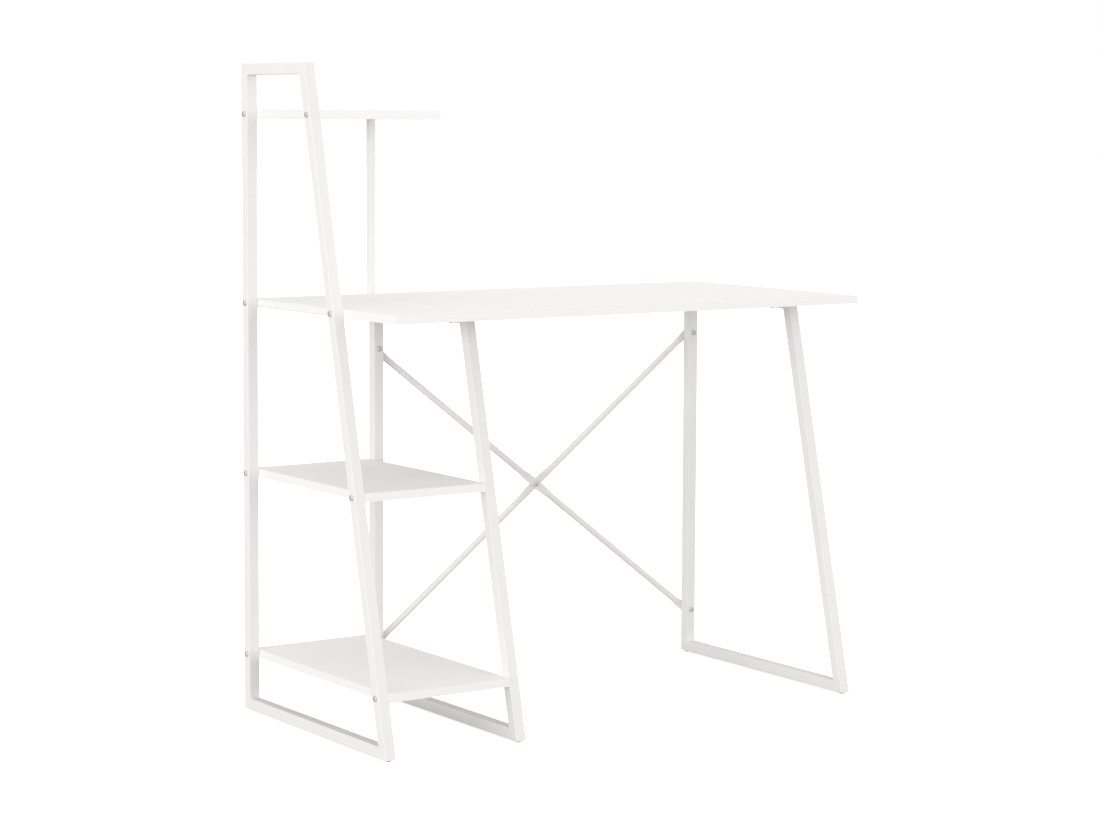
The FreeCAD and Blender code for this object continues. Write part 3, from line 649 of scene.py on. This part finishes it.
class DESK_OT_weld_corners(bpy.types.Operator):
    """Lays a rippled weld in the inner corners of each frame."""

    bl_idname = "desk.weld_corners"
    bl_label = "Weld corners"

    def execute(self, context):
        for side in FRAMES:
            beads = [self.bead(*corner) for corner in self.corners(side)]
            add_piece(f"{side}_welds", join(beads), powder_coat(), "frame_coat")
        return {"FINISHED"}

    def corners(self, side):
        """Each inner corner: its two ends across the tube and the two directions along the tubes' faces."""
        post, _, top, floor = (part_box(f"{side}_{member}") for member in MEMBERS)
        tube = floor[1].z - floor[0].z
        lean = Vector((0, top[0].y - floor[0].y, top[1].z - floor[0].z)).normalized()
        slope = lean.y / lean.z
        leg_face = floor[0].y + tube / lean.z
        low, high = floor[1].z, top[0].z
        toe, brow = (leg_face + slope * (level - floor[0].z) for level in (low, high))
        spots = (((toe, low), lean, REAR), ((brow, high), -lean, REAR),
                 ((post[0].y, low), UP, -REAR), ((post[0].y, high), -UP, -REAR))
        for (y, z), first, second in spots:
            yield Vector((post[0].x, y, z)), Vector((post[1].x, y, z)), first, second

    def bead(self, start, end, first, second):
        """A bead from start to end, in the corner of the faces that run along first and second."""
        sizes = settings().hardware
        run = (end - start).length - 2 * WELD_INSET
        steps = int(run / sizes.ripple) * RIPPLE_STEPS
        along = (end - start).normalized()
        rings = []
        for step in range(steps + 1):
            share = step / steps
            ripple = WELD_RIPPLE * math.sin(math.tau * share * run / sizes.ripple)
            swell = math.sqrt(max(0.0, 1 - (2 * share - 1) ** WELD_END_POWER))
            leg = sizes.weld * (WELD_END + (1 - WELD_END) * swell) * (1 + ripple)
            middle = start + along * (WELD_INSET + run * share)
            crown = (first + second).normalized() * leg * WELD_CROWN
            ring = [middle - (first + second) * WELD_ROOT]
            for turn in range(BEAD_STEPS + 1):
                part = turn / BEAD_STEPS
                chord = first * leg * (1 - part) + second * leg * part
                ring.append(middle + chord + crown * math.sin(math.pi * part))
            rings.append(ring)
        return skin(rings)


class DESK_OT_dress_boards(bpy.types.Operator):
    """Faces the boards with melamine and eases their edge bands."""

    bl_idname = "desk.dress_boards"
    bl_label = "Dress boards"

    def execute(self, context):
        for name in BOARDS:
            finish_node(f"{name}_board", melamine())
            finish_node(f"{name}_edge_bands", band_plastic())
            ease_edges(f"{name}_edge_bands", settings().hardware.ease)
        return {"FINISHED"}


class DESK_OT_press_brace(bpy.types.Operator):
    """Makes the two brace rods, round tubes pressed flat at their bolts."""

    bl_idname = "desk.press_brace"
    bl_label = "Press brace rods"

    def execute(self, context):
        bolts = [(low + high) / 2 for low, high in solids_of("brace_end_bolts")]
        left, right = sorted({round(bolt.x, 5) for bolt in bolts})
        lower, upper = sorted({round(bolt.z, 5) for bolt in bolts})
        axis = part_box("middle_frame_rear_post")[1].y + settings().brace.flat / 2
        rods = (("brace_rod_falling", upper, lower, -1), ("brace_rod_rising", lower, upper, 1))
        for name, start, end, side in rods:
            rod = self.rod(Vector((left, axis, start)), Vector((right, axis, end)), side)
            add_piece(f"{name}_pressed", rod, powder_coat(), "frame_coat", name)
        return {"FINISHED"}

    def rod(self, start, end, side):
        """One rod between its end bolts; side says which way its crossing flat steps off the axis."""
        sizes = settings().brace
        length = (end - start).length
        along = (end - start).normalized()
        across = along.cross(REAR)
        tip = sizes.wide / 2
        rings = []
        for place in self.stations(length):
            pressed, crossing = self.pressed(place, length)
            half_width = sizes.diameter / 2 + (sizes.wide - sizes.diameter) / 2 * pressed
            half_depth = sizes.diameter / 2 + (sizes.flat - sizes.diameter) / 2 * pressed
            over = max(-place, place - length, 0.0)
            if over > 0:
                half_width = math.sqrt(max(tip * tip - over * over, 0.0)) + TIP_REST
            middle = start + along * place + REAR * side * crossing * sizes.flat / 2
            rings.append(self.section(middle, across * half_width, REAR * half_depth, pressed))
        return skin(rings)

    def stations(self, length):
        """Places along the rod: close together where its section changes."""
        sizes = settings().brace
        tip, middle = sizes.wide / 2, length / 2
        places = [-tip * math.cos(math.pi / 2 * step / TIP_STEPS) for step in range(TIP_STEPS)]
        places.append(0.0)
        tapers = (sizes.lug, middle - sizes.crossing - sizes.taper, middle + sizes.crossing,
                  length - sizes.lug - sizes.taper)
        for begin in tapers:
            places += [begin + sizes.taper * step / TAPER_STEPS for step in range(TAPER_STEPS + 1)]
        places.append(length)
        places += [length - place for place in reversed(places[:TIP_STEPS])]
        return places

    def pressed(self, place, length):
        """How flat the rod is at a place, and how far it has stepped to its crossing flat."""
        sizes = settings().brace

        def near(spot, half):
            share = 1 - min(max((abs(place - spot) - half) / sizes.taper, 0.0), 1.0)
            return share * share * (3 - 2 * share)

        crossing = near(length / 2, sizes.crossing)
        return max(near(0.0, sizes.lug), near(length, sizes.lug), crossing), crossing

    def section(self, middle, half_width, half_depth, pressed):
        """A ring that goes from a circle to a flat with round edges."""
        power = 2 / (2 + FLAT_SQUARENESS * pressed)
        ring = []
        for step in range(ROUND_STEPS):
            turn = math.tau * step / ROUND_STEPS
            wide, deep = math.cos(turn), math.sin(turn)
            ring.append(middle + half_width * math.copysign(abs(wide) ** power, wide)
                        + half_depth * math.copysign(abs(deep) ** power, deep))
        return ring


class DESK_OT_turn_bolts(bpy.types.Operator):
    """Makes the button-head bolts of the frames and the brace."""

    bl_idname = "desk.turn_bolts"
    bl_label = "Turn bolts"

    # Each node of bolts and the way that they point, from head to thread
    BOLTS = (("tall_frame_bolts", (1, 0, 0)), ("middle_frame_bolts", (-1, 0, 0)),
             ("brace_end_bolts", (0, 1, 0)), ("brace_crossing_bolt", (0, 1, 0)))

    def execute(self, context):
        for name, direction in self.BOLTS:
            bolts = [self.bolt(low, high, Vector(direction)) for low, high in solids_of(name)]
            add_piece(f"{name}_turned", join(bolts), zinc_plate(), "zinc_steel", name)
        return {"FINISHED"}

    def bolt(self, low, high, direction):
        """One bolt in the box of its solid."""
        tall = settings().hardware.head_height
        length = abs((high - low).dot(direction))
        seat = (low + high) / 2 - direction * (length / 2 - tall)
        return bolt_mesh(aim(seat, direction), (high.z - low.z) / 2, length - tall)


class DESK_OT_cut_nuts(bpy.types.Operator):
    """Makes the hexagon nuts behind the brace."""

    bl_idname = "desk.cut_nuts"
    bl_label = "Cut nuts"

    def execute(self, context):
        nuts = []
        for low, high in solids_of("brace_nuts"):
            middle = (low + high) / 2
            seat = Vector((middle.x, low.y, middle.z))
            across_flats = min(high.x - low.x, high.z - low.z)
            nuts.append(nut_mesh(aim(seat, REAR), across_flats, high.y - low.y))
        add_piece("brace_nuts_cut", join(nuts), zinc_plate(), "zinc_steel", "brace_nuts")
        return {"FINISHED"}


class DESK_OT_drive_screws(bpy.types.Operator):
    """Makes the cross-recess screws of the desktop and the riser."""

    bl_idname = "desk.drive_screws"
    bl_label = "Drive screws"

    def execute(self, context):
        sizes = settings().hardware
        riser_middle = (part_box("riser_post")[0].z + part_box("riser_post")[1].z) / 2
        self.drive("desktop_screws", sizes.desktop_screw / 2, lambda high: UP)
        self.drive("riser_screws", sizes.riser_screw / 2, lambda high: UP if high.z < riser_middle else DOWN)
        return {"FINISHED"}

    def drive(self, name, shank, direction_of):
        """All screws of a node; direction_of gives the way that one points from the top of its box."""
        tall = settings().hardware.screw_head
        screws = []
        for low, high in solids_of(name):
            direction = direction_of(high)
            seat = (low + high) / 2
            seat.z = low.z + tall if direction.z > 0 else high.z - tall
            reach = high.z - low.z - tall
            screws.append(screw_mesh(aim(seat, direction), (high.x - low.x) / 2, shank, reach))
        add_piece(f"{name}_driven", join(screws), zinc_plate(), "zinc_steel", name)


class DESK_OT_finish_inserts(bpy.types.Operator):
    """Plates the inserts in the boards and the plugs in the riser."""

    bl_idname = "desk.finish_inserts"
    bl_label = "Finish inserts"

    def execute(self, context):
        for name in ("board_inserts", "riser_end_plugs"):
            finish_node(name, zinc_plate())
        return {"FINISHED"}


class DESK_OT_push_glides(bpy.types.Operator):
    """Makes the rounded glides under the floor rails."""

    bl_idname = "desk.push_glides"
    bl_label = "Push in glides"

    def execute(self, context):
        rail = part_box("tall_frame_floor_rail")[0].z
        glides = []
        for low, high in solids_of("glides"):
            foot = (low + high) / 2
            foot.z = low.z
            profile = self.profile((high.x - low.x) / 2, rail, high.z - low.z)
            glides.append(skin([circle(*corner) for corner in profile], Matrix.Translation(foot)))
        add_piece("glides_pushed", join(glides), glide_plastic(), "glide_plastic", "glides")
        return {"FINISHED"}

    def profile(self, wide, rail, top):
        """Radius and height from the middle of the foot, round the toe and up the stem in the rail."""
        stem = wide * GLIDE_STEM
        toe, lift = GLIDE_TOE
        rim, rim_level = GLIDE_RIM
        barb, barb_level = GLIDE_BARB
        corners = [(GLIDE_CENTRE, 0), (wide * GLIDE_FLAT, 0), (wide * toe, rail * lift)]
        for out, over in quarter(GLIDE_STEPS):
            level = GLIDE_SHOULDER - (GLIDE_SHOULDER - lift) * over
            corners.append((wide * (toe + (1 - toe) * out), rail * level))
        corners += [(wide, rail * rim_level), (wide * rim, rail), (stem, rail), (stem, top * barb_level),
                    (stem * barb, top)]
        return corners


class DESK_OT_set_stage(bpy.types.Operator):
    """Sets the pale floor, the soft lights and the camera."""

    bl_idname = "desk.set_stage"
    bl_label = "Set stage"

    def execute(self, context):
        scene = context.scene
        stage = settings().stage
        scene.view_settings.view_transform = "Standard"
        self.floor(scene)
        self.room(scene, stage.room)
        for name, (place, size) in LIGHTS.items():
            self.light(scene, f"{name}_light", Vector(place), size, getattr(stage, name))
        self.camera(scene, stage)
        return {"FINISHED"}

    def floor(self, scene):
        half = FLOOR_HALF
        mesh = bmesh.new()
        corners = [(-half, -half, 0), (half, -half, 0), (half, half, 0), (-half, half, 0)]
        mesh.faces.new([mesh.verts.new(corner) for corner in corners])
        data = bpy.data.meshes.new("floor")
        mesh.to_mesh(data)
        mesh.free()
        floor = bpy.data.objects.new("floor", data)
        scene.collection.objects.link(floor)
        data.materials.append(self.floor_paint())

    def floor_paint(self):
        """White floor that washes out to the camera and throws only a little light back at the desk."""
        material, tree, shader = new_material("Pale floor")
        shader.inputs["Base Color"].default_value = FLOOR_SEEN
        shader.inputs["Roughness"].default_value = FLOOR_ROUGHNESS
        glow = add_node(tree, "ShaderNodeEmission", {"Strength": FLOOR_GLOW}).outputs["Emission"]
        washed = add_node(tree, "ShaderNodeAddShader", {0: shader.outputs["BSDF"], 1: glow})
        dull = add_node(tree, "ShaderNodeBsdfDiffuse", {"Color": FLOOR_BOUNCE})
        output = next(node for node in tree.nodes if node.type == "OUTPUT_MATERIAL")
        self.show(tree, output, washed.outputs["Shader"], dull.outputs["BSDF"])
        return material

    def room(self, scene, strength):
        """Even room light, and plain white where the camera looks past the floor."""
        world = bpy.data.worlds.new("Pale room")
        scene.world = world
        world.use_nodes = True
        tree = world.node_tree
        tree.nodes.clear()
        white = add_node(tree, "ShaderNodeBackground", {"Color": WHITE, "Strength": ROOM_SEEN})
        even = add_node(tree, "ShaderNodeBackground", {"Color": WHITE, "Strength": strength})
        output = add_node(tree, "ShaderNodeOutputWorld")
        self.show(tree, output, white.outputs["Background"], even.outputs["Background"])

    def show(self, tree, output, seen, unseen):
        """Shows one shader to the camera, and the other to everything else."""
        camera_ray = add_node(tree, "ShaderNodeLightPath").outputs["Is Camera Ray"]
        both = add_node(tree, "ShaderNodeMixShader", {0: camera_ray, 1: unseen, 2: seen})
        tree.links.new(both.outputs["Shader"], output.inputs["Surface"])

    def light(self, scene, name, place, size, power):
        data = bpy.data.lights.new(name, "AREA")
        data.shape = "RECTANGLE"
        data.size, data.size_y = size
        data.energy = power
        lamp = bpy.data.objects.new(name, data)
        lamp.location = place
        lamp.rotation_euler = (LIGHT_TARGET - place).to_track_quat("-Z", "Y").to_euler()
        lamp.visible_camera = False
        scene.collection.objects.link(lamp)

    def camera(self, scene, stage):
        data = bpy.data.cameras.new("camera")
        data.sensor_width = SENSOR_WIDTH
        data.lens = stage.lens
        data.shift_y = stage.rise
        camera = bpy.data.objects.new("camera", data)
        upright = Euler((math.pi / 2 - stage.tilt, 0, stage.heading)).to_matrix()
        turned = upright @ Matrix.Rotation(stage.roll, 3, "Z")
        camera.matrix_world = Matrix.Translation(Vector(stage.eye)) @ turned.to_4x4()
        scene.collection.objects.link(camera)
        scene.camera = camera


class DESK_PT_panel(bpy.types.Panel):
    """Lists the desk's settings and steps."""

    bl_idname = "DESK_PT_panel"
    bl_label = "Ladder Desk"
    bl_space_type = "VIEW_3D"
    bl_region_type = "UI"
    bl_category = "Ladder Desk"

    def draw(self, context):
        desk = context.scene.ladder_desk
        for group in (desk.finish, desk.hardware, desk.brace, desk.stage):
            box = self.layout.box()
            for name in group.__annotations__:
                box.prop(group, name)
        for step in STEPS:
            self.layout.operator(step.bl_idname)


SETTING_GROUPS = (DeskFinishSettings, DeskHardwareSettings, DeskBraceSettings, DeskStageSettings,
                  LadderDeskSettings)
STEPS = (DESK_OT_coat_frames, DESK_OT_weld_corners, DESK_OT_dress_boards, DESK_OT_press_brace,
         DESK_OT_turn_bolts, DESK_OT_cut_nuts, DESK_OT_drive_screws, DESK_OT_finish_inserts,
         DESK_OT_push_glides, DESK_OT_set_stage)
CLASSES = (*SETTING_GROUPS, *STEPS, DESK_PT_panel)


def register():
    for item in CLASSES:
        bpy.utils.register_class(item)
    bpy.types.Scene.ladder_desk = PointerProperty(type=LadderDeskSettings)


def unregister():
    del bpy.types.Scene.ladder_desk
    for item in reversed(CLASSES):
        bpy.utils.unregister_class(item)


def main():
    register()
    for step in (bpy.ops.desk.coat_frames, bpy.ops.desk.weld_corners, bpy.ops.desk.dress_boards,
                 bpy.ops.desk.press_brace, bpy.ops.desk.turn_bolts, bpy.ops.desk.cut_nuts,
                 bpy.ops.desk.drive_screws, bpy.ops.desk.finish_inserts, bpy.ops.desk.push_glides,
                 bpy.ops.desk.set_stage):
        step()


if __name__ == "__main__":
    main()
